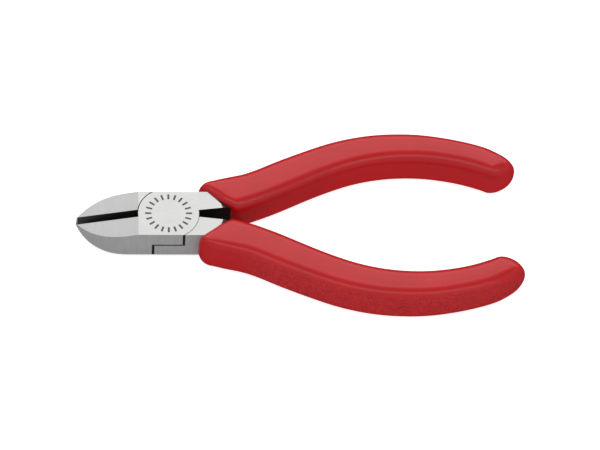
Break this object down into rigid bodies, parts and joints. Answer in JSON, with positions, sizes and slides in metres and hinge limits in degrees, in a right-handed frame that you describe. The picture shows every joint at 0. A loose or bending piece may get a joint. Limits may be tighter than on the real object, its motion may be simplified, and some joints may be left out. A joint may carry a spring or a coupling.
{
  "type": "diagonal cutting pliers",
  "caption": "Small lap-joint diagonal cutters: crossed steel halves on a flush rivet, hollow-ground jaws and bowed handles in dipped plastic grips.",
  "frame": {"origin": "on the rivet's axis, at the ground underside of the head", "axes": "+X from the rivet to the handle ends, +Y towards the handle of the half with the lower jaw, +Z along the rivet's axis to the top of the head"},
  "size_m": [0.11, 0.0516, 0.0103],
  "materials": {
    "lower_half_steel": "ground and brushed, tangs black oxide",
    "upper_half_steel": "ground and brushed, tangs black oxide",
    "rivet_steel": "ground flush and brushed",
    "grip_plastic": "dipped plastic, satin gloss"
  },
  "bodies": {
    "lower_jaw_side": {"lower_jaw_half": "lower_half_steel", "joint_rivet": "rivet_steel", "upper_grip": "grip_plastic"},
    "upper_jaw_side": {"upper_jaw_half": "upper_half_steel", "lower_grip": "grip_plastic"}
  },
  "joints": [
    {"name": "jaw_pivot", "type": "hinge", "parent": "lower_jaw_side", "child": "upper_jaw_side", "pos_m": [0, 0, 0.00415], "axis": [0, 0, -1], "range_deg": [0, 50]}
  ]
}
